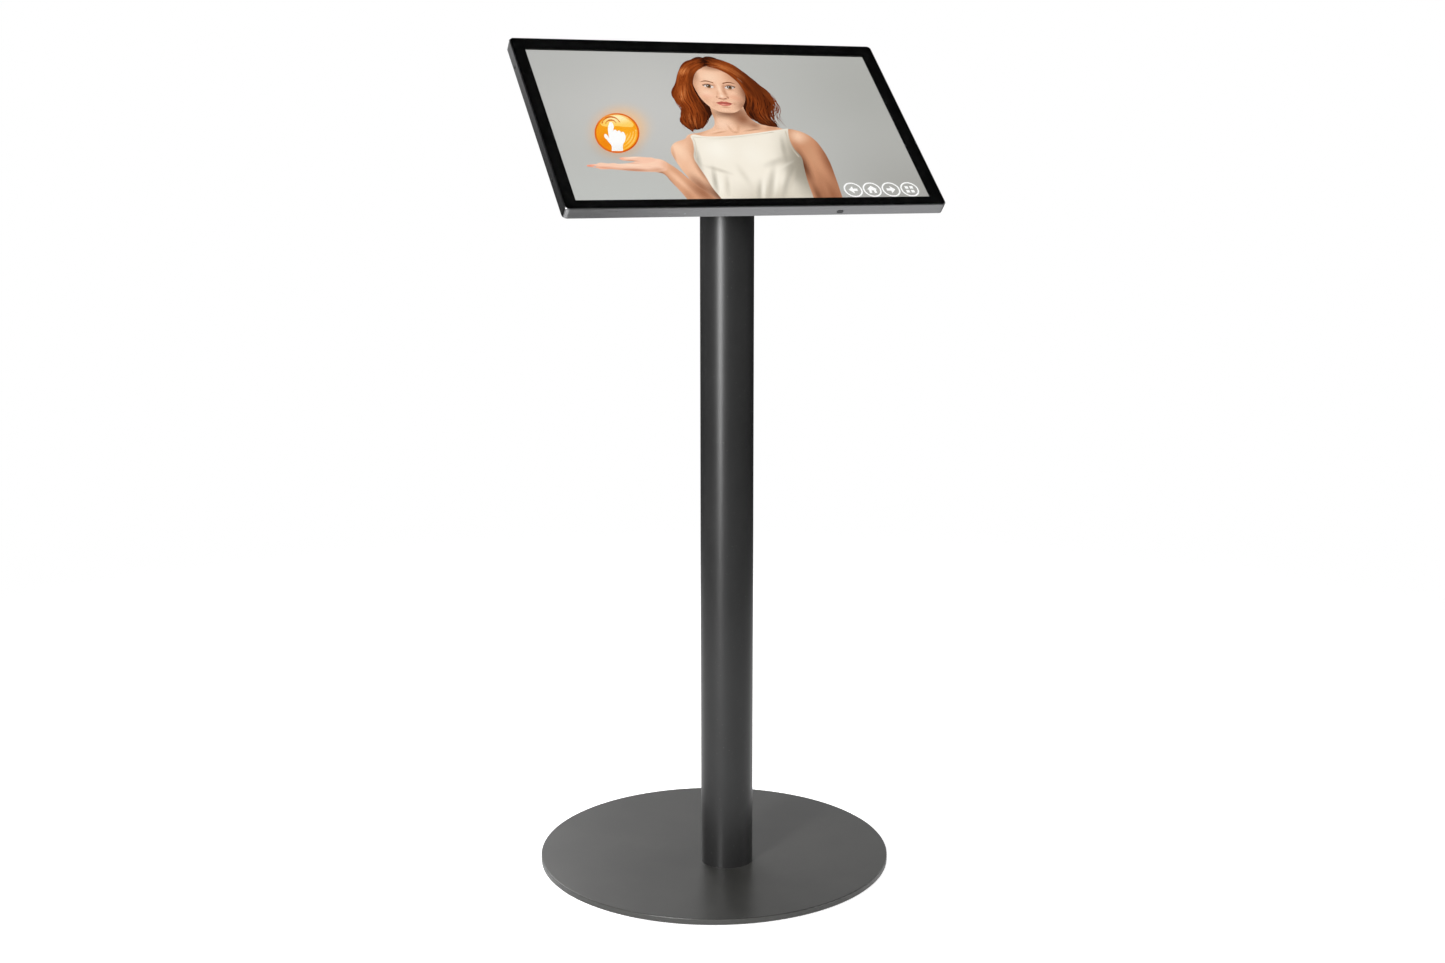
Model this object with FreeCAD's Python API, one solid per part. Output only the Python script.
"""Free-standing touchscreen kiosk: round foot plate, straight post and a tilting 21.5 inch touch display.

The row frame has +Z up, its origin on the floor under the middle of the foot plate, and -Y towards the
person who uses the kiosk. Everything in the display is drawn flat first, in the display's own frame:
X to the screen's right, Y up the screen, Z out of the glass, with the origin at the middle of the
glass's front face. Depths behind the glass are therefore negative. in_display() then leans it back.
"""

import FreeCAD, Part
import math
import os

os.makedirs("parts", exist_ok=True)
Vector = FreeCAD.Vector

# ---- driving dimensions, in millimetres and degrees ----
PLATE_RADIUS = 240.0
PLATE_THICKNESS = 8.0
RING_THICKNESS = 2.0  # rubber ring under the plate
POST_RADIUS = 35.0
POST_WALL = 2.0
POST_Y = -45.0  # the post stands forward of the plate's middle
TUBE_TOP = 886.0
DISPLAY_WIDTH = 476.64  # active area of a 21.5 inch 16:9 panel
DISPLAY_HEIGHT = 268.11
BORDER_SIDE = 17.5
BORDER_TOP = 18.8
BORDER_BOTTOM = 16.1
FRAME_DEPTH = 16.0
FRAME_WALL = 1.6
FRAME_CORNER = 6.0
HOUSING_DEPTH = 46.0  # from the glass's front face to the back of the electronics box
SCREEN_PITCH = 43.4  # the screen leans back this far from lying flat
SCREEN_Y = -52.2  # middle of the glass
SCREEN_Z = 1002.6
PIVOT_Z = 916.0  # the tilt hinge lies over the post's axis
SHEET = 1.2  # steel sheet of the housing and rails
CLEARANCE = 0.05  # screws in their threads
BUTTON_PLACE = (107.0, -10.3)  # along the frame's underside, and behind the glass's front
STATUS_PLACE = (-102.0, -10.3)
FRAME_SCREW_HEIGHTS = (106.0, -94.0)

# ---- sizes that follow ----
PLATE_TOP = RING_THICKNESS + PLATE_THICKNESS
TUBE_BORE = POST_RADIUS - POST_WALL
CAP_TOP = TUBE_TOP + 6.0
FRAME_WIDTH = DISPLAY_WIDTH + 2 * BORDER_SIDE
FRAME_HEIGHT = DISPLAY_HEIGHT + BORDER_TOP + BORDER_BOTTOM
DISPLAY_Y = (BORDER_BOTTOM - BORDER_TOP) / 2  # middle of the lit area
INNER_WIDTH = FRAME_WIDTH - 2 * FRAME_WALL
INNER_HEIGHT = FRAME_HEIGHT - 2 * FRAME_WALL
UNDERSIDE = -FRAME_HEIGHT / 2
pitch = math.radians(SCREEN_PITCH)
pivot_rise = PIVOT_Z - SCREEN_Z
pivot_back = POST_Y - SCREEN_Y
PIVOT_V = pivot_back * math.cos(pitch) + pivot_rise * math.sin(pitch)
PIVOT_N = -pivot_back * math.sin(pitch) + pivot_rise * math.cos(pitch)


# ---- shared shapes ----
def save(name, *solids):
    """One file per node; a group of like pieces stays separate solids."""
    shape = solids[0] if len(solids) == 1 else Part.makeCompound(list(solids))
    shape.exportStep("parts/%s.step" % name)


def in_display(name, *solids):
    """Lean flat-drawn pieces back to the display's place on the hinge, and save them."""
    place = FreeCAD.Placement(
        Vector(0, SCREEN_Y, SCREEN_Z), FreeCAD.Rotation(Vector(1, 0, 0), SCREEN_PITCH)
    )
    moved = []
    for solid in solids:
        piece = solid.copy()
        piece.Placement = place.multiply(piece.Placement)
        moved.append(piece)
    save(name, *moved)


def block(x0, x1, y0, y1, z0, z1):
    return Part.makeBox(x1 - x0, y1 - y0, z1 - z0, Vector(x0, y0, z0))


def rod(radius, start, end):
    axis = end - start
    return Part.makeCylinder(radius, axis.Length, start, axis)


def cone(radius0, radius1, start, end):
    axis = end - start
    return Part.makeCone(radius0, radius1, axis.Length, start, axis)


def hexagon(across_flats, start, end):
    """A hexagonal bar between two points, for nuts and sockets."""
    axis = end - start
    side = Vector(0, 0, 1).cross(axis)
    if side.Length < 1e-6:
        side = Vector(1, 0, 0)
    side.normalize()
    other = axis.cross(side)
    other.normalize()
    radius = across_flats / math.sqrt(3)
    corners = []
    for step in range(7):
        angle = math.radians(60 * step)
        corners.append(start + side * (radius * math.cos(angle)) + other * (radius * math.sin(angle)))
    return Part.Face(Part.makePolygon(corners)).extrude(axis)


def rounded_outline(width, height, radius, level, x=0.0, y=0.0):
    """A rectangle with round corners, drawn flat at one level."""
    half_w, half_h = width / 2 - radius, height / 2 - radius
    edges = []
    for turn in range(4):
        angle = math.radians(90 * turn)
        sx, sy = ((1, 1), (-1, 1), (-1, -1), (1, -1))[turn]
        nx, ny = ((-1, 1), (-1, -1), (1, -1), (1, 1))[turn]
        corner = Vector(x + sx * half_w, y + sy * half_h, level)
        following = Vector(x + nx * half_w, y + ny * half_h, level)

        def on_arc(centre, at):
            return centre + Vector(radius * math.cos(at), radius * math.sin(at), 0)

        first, middle, last = (on_arc(corner, angle + math.radians(d)) for d in (0, 45, 90))
        edges.append(Part.Arc(first, middle, last).toShape())
        edges.append(Part.LineSegment(last, on_arc(following, angle + math.radians(90))).toShape())
    return Part.Wire(edges)


def slab(width, height, radius, z0, z1, x=0.0, y=0.0):
    face = Part.Face(rounded_outline(width, height, radius, z0, x, y))
    return face.extrude(Vector(0, 0, z1 - z0))


def tapered(sections):
    """A solid through rounded rectangles given as (width, height, radius, level)."""
    return Part.makeLoft([rounded_outline(*s) for s in sections], True, True)


def slot(length, width, centre, z0, z1, upright=False):
    """A round-ended slot, for vents and buttons."""
    size = (width, length) if upright else (length, width)
    return slab(size[0], size[1], width / 2 - 0.001, z0, z1, centre[0], centre[1])


def ribbon(points, bend, thickness, x0, x1):
    """A flat cable: a route in the Y-Z plane with rounded bends, given thickness and width."""
    path = [Vector(x0, y, z) for y, z in points]
    edges = []
    start = path[0]
    for before, corner, after in zip(path, path[1:], path[2:]):
        into = (corner - before).normalize()
        out = (after - corner).normalize()
        half_turn = into.getAngle(out) / 2
        back = bend * math.tan(half_turn)
        centre_way = (out - into).normalize()
        centre = corner + centre_way * (bend / math.cos(half_turn))
        first, last = corner - into * back, corner + out * back
        edges.append(Part.LineSegment(start, first).toShape())
        edges.append(Part.Arc(first, centre - centre_way * bend, last).toShape())
        start = last
    edges.append(Part.LineSegment(start, path[-1]).toShape())
    face = Part.Wire(edges).makeOffset2D(thickness, 0, True, True)
    return face.extrude(Vector(x1 - x0, 0, 0))


def socket_screw(head_radius, head_height, shank_radius, under_head, tip, socket):
    """A cheese-head screw with a hexagon socket; the head stands on under_head, the shank ends at tip."""
    way = (under_head - tip).normalize()
    top = under_head + way * head_height
    screw = rod(head_radius, under_head, top).fuse(rod(shank_radius, tip, under_head))
    screw = screw.cut(hexagon(socket, top, top - way * (head_height * 0.6)))
    return screw.removeSplitter()


def countersunk_screw(head_radius, shank_radius, top, tip, socket):
    """A 90 degree countersunk screw whose flat top is at top."""
    way = (tip - top).normalize()
    neck = top + way * (head_radius - shank_radius)
    screw = cone(head_radius, shank_radius, top, neck).fuse(rod(shank_radius, neck, tip))
    screw = screw.cut(hexagon(socket, top, top + way * (head_radius - shank_radius)))
    return screw.removeSplitter()


def circuit_board(x0, x1, y0, y1, z0, thickness, parts, holes=()):
    """A bare board with soldered parts on its front: (x, y, width, height, rise) each."""
    board = block(x0, x1, y0, y1, z0, z0 + thickness)
    top = z0 + thickness
    for x, y, width, height, rise in parts:
        chip = block(x - width / 2, x + width / 2, y - height / 2, y + height / 2, top, top + rise)
        board = board.fuse(chip)
    for x, y in holes:
        board = board.cut(rod(1.6, Vector(x, y, z0 - 1), Vector(x, y, top + 1)))
    return board.removeSplitter()


# ---- foot ----
SCREW_CIRCLE = 22.0  # radius of the circle of foot screws
FLANGE_THICKNESS = 14.0
SCREW_HEAD = 8.0
SCREW_SHANK = 4.0
SCREW_TIP_Z = 22.0
HOLE_ROOM = 0.2  # round the foot screws in the plate
PLATE_ROUNDING = 1.2
PLATE_CHAMFER = 0.5
RING_OUTER = 228.0
RING_INNER = 204.0
screw_places = [
    (SCREW_CIRCLE * math.cos(math.radians(a)), POST_Y + SCREW_CIRCLE * math.sin(math.radians(a)))
    for a in (45, 135, 225, 315)
]


def foot_plate():
    """Laser-cut steel disc with a softened top edge and countersinks underneath."""
    plate = Part.makeCylinder(PLATE_RADIUS, PLATE_THICKNESS, Vector(0, 0, RING_THICKNESS))
    plate = plate.makeFillet(PLATE_ROUNDING, [e for e in plate.Edges if e.BoundBox.ZMin > PLATE_TOP - 0.1])
    plate = plate.makeChamfer(PLATE_CHAMFER, [e for e in plate.Edges if e.BoundBox.ZMax < RING_THICKNESS + 0.1])
    wide = SCREW_HEAD + HOLE_ROOM
    narrow = SCREW_SHANK + HOLE_ROOM
    for x, y in screw_places:
        low = Vector(x, y, RING_THICKNESS)
        sink = Vector(x, y, RING_THICKNESS + wide - narrow)
        plate = plate.cut(cone(wide, narrow, low, sink))
        plate = plate.cut(rod(narrow, low, Vector(x, y, PLATE_TOP + 1)))
    return plate


def foot_flange():
    """Thick disc welded inside the tube's lower end, threaded for the foot screws."""
    disc = Part.makeCylinder(TUBE_BORE - 0.1, FLANGE_THICKNESS, Vector(0, POST_Y, PLATE_TOP))
    for x, y in screw_places:
        thread = rod(SCREW_SHANK + CLEARANCE, Vector(x, y, PLATE_TOP - 1), Vector(x, y, PLATE_TOP + 20))
        disc = disc.cut(thread)
    return disc


def foot_screws():
    recess = RING_THICKNESS + HOLE_ROOM
    return [
        countersunk_screw(SCREW_HEAD - 0.1, SCREW_SHANK, Vector(x, y, recess), Vector(x, y, SCREW_TIP_Z), 5.0)
        for x, y in screw_places
    ]


def floor_ring():
    outer = Part.makeCylinder(RING_OUTER, RING_THICKNESS)
    return outer.cut(Part.makeCylinder(RING_INNER, RING_THICKNESS))


save("base_plate", foot_plate())
save("floor_ring", floor_ring())
save("foot_flange", foot_flange())
save("foot_screws", *foot_screws())

# ---- post ----
OUTLET_Z = 62.0
OUTLET_HOLE = 11.0
OUTLET_BORE = 6.0
CAP_SCREW_Z = 874.0
CAP_SCREW_RADIUS = 3.0
CAP_RING = 27.0  # bore of the plug's spigot
SPIGOT_FOOT = 862.0
SPIGOT_ROOM = 0.1  # round the spigot in the tube
LIP_OUTSIDE = 14.0  # radius of the grommet's outer lip, and of its inner one
LIP_INSIDE = 13.5
LIP_ROUNDING = 1.4
LIP_RISE = 3.0
LIP_DEPTH = 5.0
CABLE_HOLE = 12.0
cap_screw_angles = (30, 90, 150)  # all on the post's back half
yoke_screw_places = [(x, POST_Y + y) for x in (-16, 16) for y in (-15, 15)]
axis_at_outlet = Vector(0, POST_Y, OUTLET_Z)


def radial(angle, distance):
    turn = math.radians(angle)
    return Vector(distance * math.cos(turn), POST_Y + distance * math.sin(turn), CAP_SCREW_Z)


def post_tube():
    height = TUBE_TOP - PLATE_TOP
    foot = Vector(0, POST_Y, PLATE_TOP)
    tube = Part.makeCylinder(POST_RADIUS, height, foot).cut(Part.makeCylinder(TUBE_BORE, height, foot))
    tube = tube.cut(rod(OUTLET_HOLE, axis_at_outlet, axis_at_outlet + Vector(0, 50, 0)))
    for angle in cap_screw_angles:
        tube = tube.cut(rod(CAP_SCREW_RADIUS + CLEARANCE, radial(angle, 25), radial(angle, 45)))
    return tube


def outlet_grommet():
    """Rubber bush squeezed in the tube's hole: its two lips follow the tube's wall."""
    column_height = 60.0
    column_foot = Vector(0, POST_Y, OUTLET_Z - column_height / 2)
    outside = Part.makeCylinder(POST_RADIUS, column_height, column_foot)
    inside = Part.makeCylinder(TUBE_BORE, column_height, column_foot)
    back = Vector(0, 1, 0)
    lip_face = POST_RADIUS + LIP_RISE
    outer_lip = rod(LIP_OUTSIDE, axis_at_outlet, axis_at_outlet + back * lip_face)
    rim = [e for e in outer_lip.Edges if e.BoundBox.YMin > POST_Y + lip_face - 0.1]
    outer_lip = outer_lip.makeFillet(LIP_ROUNDING, rim).cut(outside)
    inner_lip = rod(LIP_INSIDE, axis_at_outlet + back * (TUBE_BORE - LIP_DEPTH), axis_at_outlet + back * POST_RADIUS)
    inner_lip = inner_lip.common(inside)
    neck = rod(OUTLET_HOLE, axis_at_outlet + back * (TUBE_BORE - 3.0), axis_at_outlet + back * (POST_RADIUS + 0.5))
    bush = outer_lip.fuse(neck).fuse(inner_lip)
    return bush.cut(rod(OUTLET_BORE, axis_at_outlet, axis_at_outlet + back * 50.0)).removeSplitter()


def post_cap():
    """Turned plug: a flange that closes the tube and a spigot inside it."""
    axis = Vector(0, POST_Y, 0)
    flange = rod(POST_RADIUS, axis + Vector(0, 0, TUBE_TOP), axis + Vector(0, 0, CAP_TOP))
    flange = flange.makeChamfer(0.6, [e for e in flange.Edges if e.Closed and e.BoundBox.ZMin > CAP_TOP - 0.1])
    spigot = rod(TUBE_BORE - SPIGOT_ROOM, axis + Vector(0, 0, SPIGOT_FOOT), axis + Vector(0, 0, TUBE_TOP))
    spigot = spigot.cut(rod(CAP_RING, axis + Vector(0, 0, SPIGOT_FOOT - 1), axis + Vector(0, 0, TUBE_TOP)))
    cap = flange.fuse(spigot)
    cap = cap.cut(rod(CABLE_HOLE, axis + Vector(0, 0, SPIGOT_FOOT - 1), axis + Vector(0, 0, CAP_TOP + 1)))
    for x, y in yoke_screw_places:
        cap = cap.cut(rod(2.5 + CLEARANCE, Vector(x, y, TUBE_TOP - 1), Vector(x, y, CAP_TOP + 1)))
    for angle in cap_screw_angles:
        cap = cap.cut(rod(CAP_SCREW_RADIUS + CLEARANCE, radial(angle, 25), radial(angle, 45)))
    return cap.removeSplitter()


def cap_screws():
    """Set screws, flush with the tube, with a hexagon socket in the outer end."""
    screws = []
    for angle in cap_screw_angles:
        outer = radial(angle, POST_RADIUS - 0.4)
        screw = rod(CAP_SCREW_RADIUS, radial(angle, CAP_RING + 0.5), outer)
        screws.append(screw.cut(hexagon(3.0, outer, radial(angle, POST_RADIUS - 3.5))))
    return screws


save("post_tube", post_tube())
save("outlet_grommet", outlet_grommet())
save("post_cap", post_cap())
save("cap_screws", *cap_screws())

# ---- tilt hinge, fixed half ----
YOKE_SHEET = 4.0
YOKE_OUTER = 28.2  # outer face of each upright ear
YOKE_EAR_RADIUS = 14.0
BRACKET_EAR = (20.0, 23.0)  # inner and outer face of each moving ear
HINGE_RADIUS = 4.0
HINGE_GAP = 0.1  # between faces that turn on each other
yoke_inner = YOKE_OUTER - YOKE_SHEET
yoke_floor = CAP_TOP + YOKE_SHEET


def hinge_point(x):
    return Vector(x, POST_Y, PIVOT_Z)


def tilt_yoke():
    base = slab(2 * YOKE_OUTER, 46.0, 3.0, CAP_TOP, yoke_floor, 0, POST_Y)
    yoke = base
    for side in (-1, 1):
        inner, outer = sorted((side * yoke_inner, side * YOKE_OUTER))
        upright = block(inner, outer, POST_Y - YOKE_EAR_RADIUS, POST_Y + YOKE_EAR_RADIUS, CAP_TOP, PIVOT_Z)
        yoke = yoke.fuse(upright.fuse(rod(YOKE_EAR_RADIUS, hinge_point(inner), hinge_point(outer))))
    yoke = yoke.cut(rod(HINGE_RADIUS + CLEARANCE, hinge_point(-40), hinge_point(40)))
    yoke = yoke.cut(rod(CABLE_HOLE - 1, Vector(0, POST_Y, CAP_TOP - 1), Vector(0, POST_Y, yoke_floor + 1)))
    for x, y in yoke_screw_places:
        yoke = yoke.cut(rod(2.6, Vector(x, y, CAP_TOP - 1), Vector(x, y, yoke_floor + 1)))
    return yoke.removeSplitter()


def yoke_screws():
    return [
        socket_screw(4.5, 2.8, 2.5, Vector(x, y, yoke_floor), Vector(x, y, TUBE_TOP + 0.5), 3.0)
        for x, y in yoke_screw_places
    ]


def hinge_bolts():
    return [
        socket_screw(7.0, 5.0, HINGE_RADIUS, hinge_point(side * YOKE_OUTER), hinge_point(side * 12.4), 5.0)
        for side in (-1, 1)
    ]


def hinge_nuts():
    nuts = []
    for side in (-1, 1):
        face = side * (BRACKET_EAR[0] - HINGE_GAP)
        nut = hexagon(13.0, hinge_point(face), hinge_point(face - side * 6.5))
        nuts.append(nut.cut(rod(HINGE_RADIUS + CLEARANCE, hinge_point(-40), hinge_point(40))))
    return nuts


def friction_washers():
    washers = []
    for side in (-1, 1):
        disc = rod(11.0, hinge_point(side * (BRACKET_EAR[1] + HINGE_GAP)), hinge_point(side * yoke_inner))
        washers.append(disc.cut(rod(HINGE_RADIUS + CLEARANCE, hinge_point(-40), hinge_point(40))))
    return washers


save("tilt_yoke", tilt_yoke())
save("yoke_screws", *yoke_screws())
save("hinge_bolts", *hinge_bolts())
save("hinge_nuts", *hinge_nuts())
save("friction_washers", *friction_washers())

# ---- display: layers behind the glass, by depth ----
GLASS_BACK = -3.0
GLASS_ROOM = 0.15  # each side, between glass and frame
SENSOR_FRONT = -3.05  # the bonding layer fills the 0.05 in front of it
SENSOR_BACK = -3.5
TAPE_BACK = -4.0
LEDGE_BACK = -6.0
LEDGE_WIDTH = 3.0
MODULE_FRONT = -4.2
CELL_FRONT = -5.0
FILMS_FRONT = -6.4
GUIDE_FRONT = -7.3
REFLECTOR_FRONT = -10.3
TRAY_FRONT = -10.6
MODULE_BACK = -11.4
PANEL_FRONT = -FRAME_DEPTH + SHEET
BOX_BACK = -HOUSING_DEPTH
BOX_FLOOR = BOX_BACK + SHEET  # inner face of the electronics box
MODULE_WIDTH = 490.0
MODULE_HEIGHT = 284.0
MODULE_Y = -2.0
MODULE_SHEET = 0.8
MODULE_SCREW_X = 242.0
MODULE_SCREW_DEPTH = -8.5
CELL_SIZE = (484.0, 277.0)
FILM_SIZE = (482.0, 275.0)
MOULD_ROOM = 0.4  # round the cell and the films, in all
WINDOW_MARGIN = 3.0  # how much wider than the lit area the bezel is open, in all
LED_COUNT = 36
LED_BAR_HALF = 236.0
LED_RUN = 460.0  # between the first and the last LED
LED_SIZE = 3.0
SCREW3 = 1.5  # shank radius of the small screws


def side_frame():
    """Mitred aluminium band with a ledge for the glass; holes for its screws, the button and the light."""
    band = slab(FRAME_WIDTH, FRAME_HEIGHT, FRAME_CORNER, -FRAME_DEPTH, 0)
    front = [e for e in band.Edges if e.BoundBox.ZMin > -0.01]
    band = band.makeChamfer(0.8, front)
    back = [e for e in band.Edges if e.BoundBox.ZMax < -FRAME_DEPTH + 0.01]
    band = band.makeChamfer(0.5, back)
    inner_corner = FRAME_CORNER - FRAME_WALL
    band = band.cut(slab(INNER_WIDTH, INNER_HEIGHT, inner_corner, TAPE_BACK, 1))
    band = band.cut(slab(INNER_WIDTH, INNER_HEIGHT, inner_corner, -FRAME_DEPTH - 1, LEDGE_BACK))
    opening = (INNER_WIDTH - 2 * LEDGE_WIDTH, INNER_HEIGHT - 2 * LEDGE_WIDTH)
    band = band.cut(slab(*opening, 2.0, LEDGE_BACK - 1, TAPE_BACK + 1))
    for side in (-1, 1):
        for height in FRAME_SCREW_HEIGHTS:
            face = Vector(side * FRAME_WIDTH / 2, height, STATUS_PLACE[1])
            inward = Vector(-side, 0, 0)
            band = band.cut(cone(2.85, SCREW3 + CLEARANCE, face, face + inward * 1.3))
            band = band.cut(rod(SCREW3 + CLEARANCE, face, face + inward * 3))
    band = band.cut(underside_slot(9.6, 5.6, UNDERSIDE - 1, UNDERSIDE + 3))
    light = Vector(STATUS_PLACE[0], UNDERSIDE - 1, STATUS_PLACE[1])
    return band.cut(rod(1.0, light, light + Vector(0, 4, 0)))


def underside_slot(length, width, y0, y1):
    """A round-ended block that runs up the screen at the button's place."""
    flat = slot(length, width, (0, 0), 0, y1 - y0)
    flat.rotate(Vector(0, 0, 0), Vector(1, 0, 0), -90)
    flat.translate(Vector(BUTTON_PLACE[0], y0, BUTTON_PLACE[1]))
    return flat


def frame_screws():
    screws = []
    for side in (-1, 1):
        for height in FRAME_SCREW_HEIGHTS:
            top = Vector(side * (FRAME_WIDTH / 2 - 0.1), height, STATUS_PLACE[1])
            tip = Vector(side * (INNER_WIDTH / 2 - 3.4), height, STATUS_PLACE[1])
            screws.append(countersunk_screw(2.75, SCREW3, top, tip, 2.0))
    return screws


def cover_glass():
    width = INNER_WIDTH - 2 * GLASS_ROOM
    height = INNER_HEIGHT - 2 * GLASS_ROOM
    glass = slab(width, height, FRAME_CORNER - FRAME_WALL - GLASS_ROOM, GLASS_BACK, 0)
    return glass.makeChamfer(0.4, [e for e in glass.Edges if e.BoundBox.ZMin > -0.01])


def glass_tape():
    outer = slab(INNER_WIDTH - 0.6, INNER_HEIGHT - 0.6, 4.0, TAPE_BACK, GLASS_BACK)
    inner = slab(INNER_WIDTH - 2 * LEDGE_WIDTH, INNER_HEIGHT - 2 * LEDGE_WIDTH, 2.0, TAPE_BACK, GLASS_BACK)
    return outer.cut(inner)


def panel_bezel():
    """Folded steel front of the panel module, open over the lit area."""
    shell = slab(MODULE_WIDTH, MODULE_HEIGHT, 1.5, MODULE_BACK, MODULE_FRONT, 0, MODULE_Y)
    width = MODULE_WIDTH - 2 * MODULE_SHEET
    height = MODULE_HEIGHT - 2 * MODULE_SHEET
    shell = shell.cut(slab(width, height, 0.8, MODULE_BACK - 1, CELL_FRONT, 0, MODULE_Y))
    open_size = (DISPLAY_WIDTH + WINDOW_MARGIN, DISPLAY_HEIGHT + WINDOW_MARGIN)
    window = slab(*open_size, 0.5, MODULE_BACK, 0, 0, DISPLAY_Y)
    return cut_module_screws(shell.cut(window))


module_screw_places = [(side, y) for side in (-1, 1) for y in (-80.0, 80.0)]


def cut_module_screws(shape):
    for side, y in module_screw_places:
        outer = Vector(side * (MODULE_WIDTH / 2 + 3), y, MODULE_SCREW_DEPTH)
        inner = Vector(side * (MODULE_SCREW_X - 0.1), y, MODULE_SCREW_DEPTH)
        shape = shape.cut(rod(SCREW3 + CLEARANCE, inner, outer))
    return shape


def module_screws():
    screws = []
    for side, y in module_screw_places:
        under_head = Vector(side * (MODULE_WIDTH / 2 + SHEET), y, MODULE_SCREW_DEPTH)
        tip = Vector(side * MODULE_SCREW_X, y, MODULE_SCREW_DEPTH)
        screws.append(socket_screw(2.5, 1.4, SCREW3, under_head, tip, 1.5))
    return screws


def panel_mould():
    """Plastic frame with a step: the cell above it, films and light guide inside it."""
    shrink = 2 * MODULE_SHEET + 0.2
    outer = slab(MODULE_WIDTH - shrink, MODULE_HEIGHT - shrink, 0.7, TRAY_FRONT, CELL_FRONT, 0, MODULE_Y)
    for size, low, high in ((CELL_SIZE, FILMS_FRONT, CELL_FRONT + 1), (FILM_SIZE, TRAY_FRONT - 1, FILMS_FRONT + 1)):
        opening = [side + MOULD_ROOM for side in size]
        outer = outer.cut(slab(*opening, 0.5, low, high, 0, MODULE_Y))
    return cut_module_screws(outer)


def plain_layer(size, front, back):
    return slab(*size, 0.4, back, front, 0, MODULE_Y)


def light_guide():
    """Acrylic plate; its lower edge stops short to leave room for the LEDs."""
    return slab(482.0, 272.3, 0.4, REFLECTOR_FRONT, GUIDE_FRONT, 0, MODULE_Y + 1.25)


def led_bar():
    low = MODULE_Y - FILM_SIZE[1] / 2
    back, front = REFLECTOR_FRONT + 0.2, GUIDE_FRONT - 0.2
    strip = low + 1.0
    bar = block(-LED_BAR_HALF, LED_BAR_HALF, low, strip, back, front)
    for index in range(LED_COUNT):
        x = LED_RUN * (index / (LED_COUNT - 1) - 0.5)
        lamp = block(x - LED_SIZE / 2, x + LED_SIZE / 2, strip, strip + 0.8, back + 0.3, front - 0.3)
        bar = bar.fuse(lamp)
    return bar


def backlight_tray():
    shrink = 2 * MODULE_SHEET + 0.2
    return slab(MODULE_WIDTH - shrink, MODULE_HEIGHT - shrink, 0.7, MODULE_BACK, TRAY_FRONT, 0, MODULE_Y)


in_display("side_frame", side_frame())
in_display("frame_screws", *frame_screws())
in_display("cover_glass", cover_glass())
in_display("glass_tape", glass_tape())
in_display("touch_sensor", slab(492.0, 284.0, 2.0, SENSOR_BACK, SENSOR_FRONT, 0, DISPLAY_Y))
in_display("panel_bezel", panel_bezel())
in_display("lcd_cell", plain_layer(CELL_SIZE, CELL_FRONT, FILMS_FRONT))
in_display("optical_films", plain_layer(FILM_SIZE, FILMS_FRONT, GUIDE_FRONT))
in_display("light_guide", light_guide())
in_display("reflector_sheet", plain_layer(FILM_SIZE, REFLECTOR_FRONT, TRAY_FRONT))
in_display("led_bar", led_bar())
in_display("panel_mould", panel_mould())
in_display("backlight_tray", backlight_tray())
in_display("module_screws", *module_screws())

# ---- display: rear housing and what holds the panel in it ----
RAIL_X = 229.0  # inner edge of each rail's foot
RAIL_SCREW_X = 237.0
RAIL_HALF = 110.0
rail_screw_places = [(side * RAIL_SCREW_X, y) for side in (-1, 1) for y in (-98.0, 0.0, 98.0)]
bracket_screw_places = [(x, y) for x in (-50, 50) for y in (-50, 50)]  # the 100 mm pattern
CABLE_ENTRY = (0.0, 8.0)
VENT_WIDTH = 3.2
SIDE_VENTS = 11  # upright slots each side of the bracket
SIDE_VENT_FIRST = 72.0
SIDE_VENT_STEP = 8.0
LOW_VENTS = 8
LOW_VENT_STEP = 38.0
drive_screw_places = [(x, y) for x in (72.0, 152.0) for y in (-86.0, -34.0)]


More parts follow.
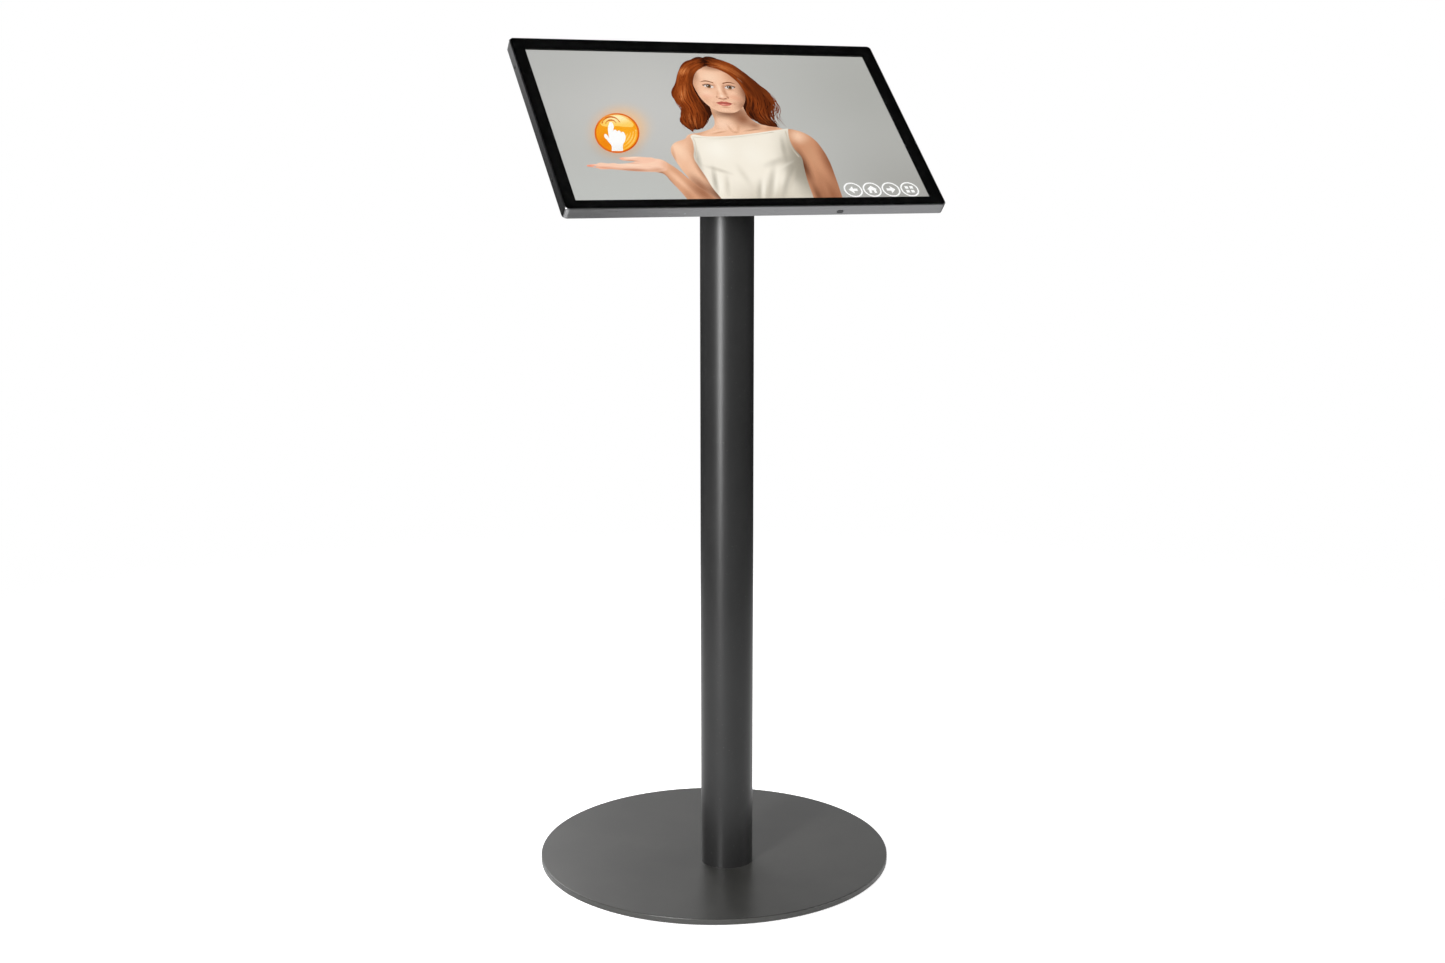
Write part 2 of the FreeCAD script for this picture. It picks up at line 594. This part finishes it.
def rear_housing():
    """Folded and welded steel back: flat rim, raised electronics box, side flanges for the frame screws."""
    edge = 0.4
    panel = slab(INNER_WIDTH - edge, INNER_HEIGHT - edge, 4.0, -FRAME_DEPTH, PANEL_FRONT)
    box = tapered([(360, 240, 14, -FRAME_DEPTH), (343, 223, 12, -42), (335, 215, 10, BOX_BACK)])
    shell = panel.fuse(box)
    inside = [(357.5, 237.5, 12.8, PANEL_FRONT), (340.5, 220.5, 10.8, -40.8), (332.5, 212.5, 8.8, BOX_FLOOR)]
    shell = shell.cut(tapered(inside))
    outer = (INNER_WIDTH - edge) / 2
    for side in (-1, 1):
        x0, x1 = sorted((side * (outer - SHEET), side * outer))
        shell = shell.fuse(block(x0, x1, -130, 130, PANEL_FRONT, LEDGE_BACK - 0.5))
    for side in (-1, 1):
        for height in FRAME_SCREW_HEIGHTS:
            at = Vector(side * (outer - 3), height, STATUS_PLACE[1])
            shell = shell.cut(rod(SCREW3 + CLEARANCE, at, at + Vector(side * 5, 0, 0)))
    for x, y in rail_screw_places:
        shell = shell.cut(rod(SCREW3 + 0.2, Vector(x, y, -20), Vector(x, y, -10)))
    for x, y in bracket_screw_places:
        shell = shell.cut(rod(2.25, Vector(x, y, BOX_BACK - 1), Vector(x, y, BOX_FLOOR + 1)))
    entry = Vector(CABLE_ENTRY[0], CABLE_ENTRY[1], BOX_BACK - 1)
    shell = shell.cut(rod(9.0, entry, entry + Vector(0, 0, 4)))
    cuts = []
    for side in (-1, 1):
        for index in range(SIDE_VENTS):
            x = side * (SIDE_VENT_FIRST + SIDE_VENT_STEP * index)
            cuts.append(slot(44, VENT_WIDTH, (x, 70), BOX_BACK - 1, BOX_FLOOR + 1, upright=True))
    for index in range(LOW_VENTS):
        x = LOW_VENT_STEP * (index - (LOW_VENTS - 1) / 2)
        cuts.append(slot(28, VENT_WIDTH, (x, -101), BOX_BACK - 1, BOX_FLOOR + 1))
    for x, y in drive_screw_places:
        cuts.append(rod(SCREW3 + 0.1, Vector(x, y, BOX_BACK - 1), Vector(x, y, BOX_FLOOR + 1)))
    return shell.cut(Part.makeCompound(cuts)).removeSplitter()


def panel_rails():
    """A folded rail each side: upright leg on the module's flank, foot on the housing's rim."""
    rails = []
    flank = MODULE_WIDTH / 2
    for side in (-1, 1):
        leg0, leg1 = sorted((side * flank, side * (flank + SHEET)))
        foot0, foot1 = sorted((side * RAIL_X, side * (flank + SHEET)))
        rail = block(leg0, leg1, -RAIL_HALF, RAIL_HALF, PANEL_FRONT, CELL_FRONT - 0.2)
        rail = rail.fuse(block(foot0, foot1, -RAIL_HALF, RAIL_HALF, PANEL_FRONT, PANEL_FRONT + SHEET))
        rails.append(rail)
    drilled = []
    for rail in rails:
        for x, y in rail_screw_places:
            rail = rail.cut(rod(SCREW3 + CLEARANCE, Vector(x, y, -20), Vector(x, y, -10)))
        drilled.append(cut_module_screws(rail).removeSplitter())
    return drilled


def rail_screws():
    return [
        socket_screw(2.75, 1.8, SCREW3, Vector(x, y, -FRAME_DEPTH), Vector(x, y, -12.2), 2.0)
        for x, y in rail_screw_places
    ]


def clinch_nuts():
    nuts = []
    for x, y in bracket_screw_places:
        nut = rod(4.3, Vector(x, y, BOX_FLOOR), Vector(x, y, BOX_FLOOR + 3))
        nuts.append(nut.cut(rod(2.0 + CLEARANCE, Vector(x, y, BOX_FLOOR - 1), Vector(x, y, BOX_FLOOR + 4))))
    return nuts


def housing_grommet():
    x, y = CABLE_ENTRY
    outside = rod(12.0, Vector(x, y, BOX_BACK - 2.4), Vector(x, y, BOX_BACK))
    outside = outside.makeFillet(1.2, [e for e in outside.Edges if e.BoundBox.ZMax < BOX_BACK - 2.3])
    neck = rod(9.0, Vector(x, y, BOX_BACK), Vector(x, y, BOX_FLOOR))
    inside = rod(11.5, Vector(x, y, BOX_FLOOR), Vector(x, y, BOX_FLOOR + 2))
    bush = outside.fuse(neck).fuse(inside)
    return bush.cut(rod(5.5, Vector(x, y, BOX_BACK - 5), Vector(x, y, BOX_FLOOR + 5))).removeSplitter()


in_display("rear_housing", rear_housing())
in_display("panel_rails", *panel_rails())
in_display("rail_screws", *rail_screws())
in_display("clinch_nuts", *clinch_nuts())
in_display("housing_grommet", housing_grommet())

# ---- tilt hinge, moving half ----
BRACKET_SHEET = 3.0
BRACKET_BACK = BOX_BACK - BRACKET_SHEET
BRACKET_HALF_WIDTH = 60.0
BRACKET_TOP = 62.0
EAR_RADIUS = 13.0
EAR_ROOT = 17.7  # half length of each ear where it meets the plate
CABLE_WINDOW = (30.0, 66.0)
WINDOW_Y = 4.0


def tilt_bracket():
    """Steel plate on the 100 mm pattern with two ears that reach down to the hinge."""
    low = PIVOT_V - EAR_ROOT
    height = BRACKET_TOP - low
    plate = slab(2 * BRACKET_HALF_WIDTH, height, 8, BRACKET_BACK, BOX_BACK, 0, (BRACKET_TOP + low) / 2)
    plate = plate.cut(slab(*CABLE_WINDOW, 6, BRACKET_BACK - 1, BOX_BACK + 1, 0, WINDOW_Y))
    for x, y in bracket_screw_places:
        plate = plate.cut(rod(2.25, Vector(x, y, BRACKET_BACK - 1), Vector(x, y, BOX_BACK + 1)))
    outline = [(low, BRACKET_BACK), (PIVOT_V + EAR_ROOT, BRACKET_BACK)]
    outline += [(PIVOT_V + EAR_RADIUS, PIVOT_N), (PIVOT_V - EAR_RADIUS, PIVOT_N), outline[0]]
    for side in (-1, 1):
        x0, x1 = sorted((side * BRACKET_EAR[0], side * BRACKET_EAR[1]))
        corners = [Vector(x0, y, z) for y, z in outline]
        ear = Part.Face(Part.makePolygon(corners)).extrude(Vector(x1 - x0, 0, 0))
        ear = ear.fuse(rod(EAR_RADIUS, Vector(x0, PIVOT_V, PIVOT_N), Vector(x1, PIVOT_V, PIVOT_N)))
        plate = plate.fuse(ear)
    bore = rod(HINGE_RADIUS + CLEARANCE, Vector(-40, PIVOT_V, PIVOT_N), Vector(40, PIVOT_V, PIVOT_N))
    return plate.cut(bore).removeSplitter()


def bracket_screws():
    return [
        socket_screw(3.8, 2.4, 2.0, Vector(x, y, BRACKET_BACK), Vector(x, y, BOX_FLOOR + 2.5), 2.5)
        for x, y in bracket_screw_places
    ]


in_display("tilt_bracket", tilt_bracket())
in_display("bracket_screws", *bracket_screws())

# ---- display: electronics in the box ----
STANDOFF = 6.0
BOARD_BACK = BOX_FLOOR + STANDOFF
BOARD_THICKNESS = 1.6
BOARD_FRONT = BOARD_BACK + BOARD_THICKNESS
COMPUTER = (-164.0, -18.0, -30.0, 72.0)
DRIVER = (20.0, 110.0, 35.0, 95.0)
CONTROLLER = (20.0, 90.0, -12.0, 18.0)
TERMINAL = (-64.0, -10.0, -92.0, -56.0)
CORNER_INSET = 4.0
CPU_PLACE = (-96.0, 22.0)
CPU_RISE = 2.0
SINK_HALF = 32.0
SINK_BASE = 3.0
FIN_COUNT = 13
FIN_THICKNESS = 1.6
FIN_TOP = 16.0


def corner_holes(area):
    x0, x1, y0, y1 = area
    inset = CORNER_INSET
    return [(x, y) for x in (x0 + inset, x1 - inset) for y in (y0 + inset, y1 - inset)]


all_standoffs = [p for area in (COMPUTER, DRIVER, CONTROLLER, TERMINAL) for p in corner_holes(area)]


def computer_board():
    parts = [(CPU_PLACE[0], CPU_PLACE[1], 34, 34, CPU_RISE)]
    parts += [(-44, 14, 7, 64, 9), (-34, 14, 7, 64, 9)]  # memory sockets
    parts += [(-155, y, 15, 14, 13) for y in (-10, 8)]  # stacked sockets on the edge
    parts += [(-154, 34, 17, 16, 12), (-150, 54, 11, 8, 4)]
    parts += [(-124 + 12 * i, 62, 7, 7, 6) for i in range(5)]
    parts += [(-118 + 14 * i, -22, 9, 5, 3) for i in range(5)]
    return circuit_board(*COMPUTER, BOARD_BACK, BOARD_THICKNESS, parts, corner_holes(COMPUTER))


def heat_sink():
    x, y = CPU_PLACE
    base = BOARD_FRONT + CPU_RISE
    y0, y1 = y - SINK_HALF, y + SINK_HALF
    sink = block(x - SINK_HALF, x + SINK_HALF, y0, y1, base, base + SINK_BASE)
    step = (2 * SINK_HALF - FIN_THICKNESS) / (FIN_COUNT - 1)
    for index in range(FIN_COUNT):
        at = x - SINK_HALF + index * step
        sink = sink.fuse(block(at, at + FIN_THICKNESS, y0, y1, base + SINK_BASE, base + FIN_TOP))
    return sink.removeSplitter()


def driver_board():
    parts = [(40, 60, 22, 18, 12), (66, 58, 14, 14, 8), (90, 60, 10, 24, 7)]
    parts += [(34 + 14 * i, 84, 8, 8, 9) for i in range(5)]
    parts += [(84, 42, 9, 7, 4)]
    return circuit_board(*DRIVER, BOARD_BACK, BOARD_THICKNESS, parts, corner_holes(DRIVER))


def touch_controller():
    parts = [(44, 4, 12, 12, 1.4), (72, 2, 8, 8, 1.2), (34, 10, 5, 5, 1.0)]
    return circuit_board(*CONTROLLER, BOARD_BACK, BOARD_THICKNESS, parts, corner_holes(CONTROLLER))


def supply_terminal():
    parts = [(-37, -83, 30, 10, 11), (-44, -66, 12, 10, 8), (-26, -66, 10, 10, 10)]
    return circuit_board(*TERMINAL, BOARD_BACK, BOARD_THICKNESS, parts, corner_holes(TERMINAL))


def board_standoffs():
    posts = []
    for x, y in all_standoffs:
        post = hexagon(5.5, Vector(x, y, BOX_FLOOR), Vector(x, y, BOARD_BACK))
        posts.append(post.cut(rod(SCREW3 + CLEARANCE, Vector(x, y, BOX_FLOOR + 1), Vector(x, y, BOARD_BACK + 1))))
    return posts


def board_screws():
    return [
        socket_screw(2.75, 1.8, SCREW3, Vector(x, y, BOARD_FRONT), Vector(x, y, BOARD_BACK - 4), 2.0)
        for x, y in all_standoffs
    ]


def storage_drive():
    case = slab(100.0, 69.8, 3.0, BOX_FLOOR, BOX_FLOOR + 7.0, 112.0, -60.0)
    for x, y in drive_screw_places:
        case = case.cut(rod(SCREW3 + CLEARANCE, Vector(x, y, BOX_FLOOR - 1), Vector(x, y, BOX_FLOOR + 3.5)))
    return case


def drive_screws():
    return [
        socket_screw(2.75, 1.8, SCREW3, Vector(x, y, BOX_BACK), Vector(x, y, BOX_FLOOR + 3.0), 2.0)
        for x, y in drive_screw_places
    ]


def timing_board():
    parts = [(-50, 95, 16, 16, 1.4), (-90, 95, 20, 6, 1.2), (-10, 96, 12, 6, 1.2), (-45, 86, 34, 3.4, 1.6)]
    flat = circuit_board(-120, 20, 84, 106, 0, 1.2, parts)
    flat.rotate(Vector(-50, 95, 0), Vector(0, 1, 0), 180)
    flat.translate(Vector(0, 0, MODULE_BACK))
    return flat


in_display("computer_board", computer_board())
in_display("heat_sink", heat_sink())
in_display("driver_board", driver_board())
in_display("touch_controller", touch_controller())
in_display("supply_terminal", supply_terminal())
in_display("board_standoffs", *board_standoffs())
in_display("board_screws", *board_screws())
in_display("storage_drive", storage_drive())
in_display("drive_screws", *drive_screws())
in_display("timing_board", timing_board())

# ---- display: power button, status light and flat cables ----
BUTTON_PROUD = 0.3
CABLE_THICKNESS = 0.2
wall_inside = UNDERSIDE + FRAME_WALL
module_edge = MODULE_Y - MODULE_HEIGHT / 2


def power_button():
    """Round-ended cap with a flange inside the frame that keeps it in."""
    cap = underside_slot(9.0, 5.0, UNDERSIDE - BUTTON_PROUD, wall_inside + 0.3)
    tip = [e for e in cap.Edges if e.BoundBox.YMax < UNDERSIDE - BUTTON_PROUD + 0.01]
    cap = cap.makeChamfer(0.3, tip)
    flange = underside_slot(11.0, 6.6, wall_inside + 0.3, wall_inside + 1.1)
    return cap.fuse(flange).removeSplitter()


def along_button(y):
    return Vector(BUTTON_PLACE[0], y, BUTTON_PLACE[1])


def switch_plunger():
    return rod(1.0, along_button(wall_inside + 1.1), along_button(module_edge - 2.7))


def power_switch():
    """Low tact switch on the button board, open for its plunger."""
    x, z = BUTTON_PLACE
    body = block(x - 3.0, x + 3.0, module_edge - 3.2, module_edge - 1.0, z - 1.8, z + 1.8)
    return body.cut(rod(1.1, along_button(module_edge - 4), along_button(module_edge - 1.8)))


def button_board():
    x, _ = BUTTON_PLACE
    return block(x - 12, x + 12, module_edge - 1.0, module_edge, -14.2, -7.0)


def status_light():
    """Clear light pipe from the indicator board to the frame's underside."""
    x, z = STATUS_PLACE
    pipe = rod(0.95, Vector(x, UNDERSIDE + 0.1, z), Vector(x, module_edge - 2.0, z))
    return pipe.fuse(rod(1.7, Vector(x, wall_inside, z), Vector(x, wall_inside + 0.9, z))).removeSplitter()


def indicator_board():
    x, z = STATUS_PLACE
    board = block(x - 7, x + 7, module_edge - 1.0, module_edge, -13.6, -7.0)
    return board.fuse(block(x - 1, x + 1, module_edge - 1.8, module_edge - 1.0, z - 1, z + 1))


in_display("power_button", power_button())
in_display("switch_plunger", switch_plunger())
in_display("power_switch", power_switch())
in_display("button_board", button_board())
in_display("status_light", status_light())
in_display("indicator_board", indicator_board())
touch_route = [(134.5, -3.5), (143.4, -3.5), (143.4, -13.2), (30, -13.2), (14, -36.4), (4, -36.9)]
panel_route = [(85, -14.4), (78, -14.4), (62, -35.6), (54, -36.9)]
button_route = [(module_edge + 0.3, -13.0), (-6, -13.0), (36, -36.3), (44, -36.9)]
in_display("touch_flex", ribbon(touch_route, 1.5, CABLE_THICKNESS, 50, 68))
in_display("panel_cable", ribbon(panel_route, 1.5, CABLE_THICKNESS, -60, -30))
in_display("button_lead", ribbon(button_route, 1.5, CABLE_THICKNESS, 96, 101))
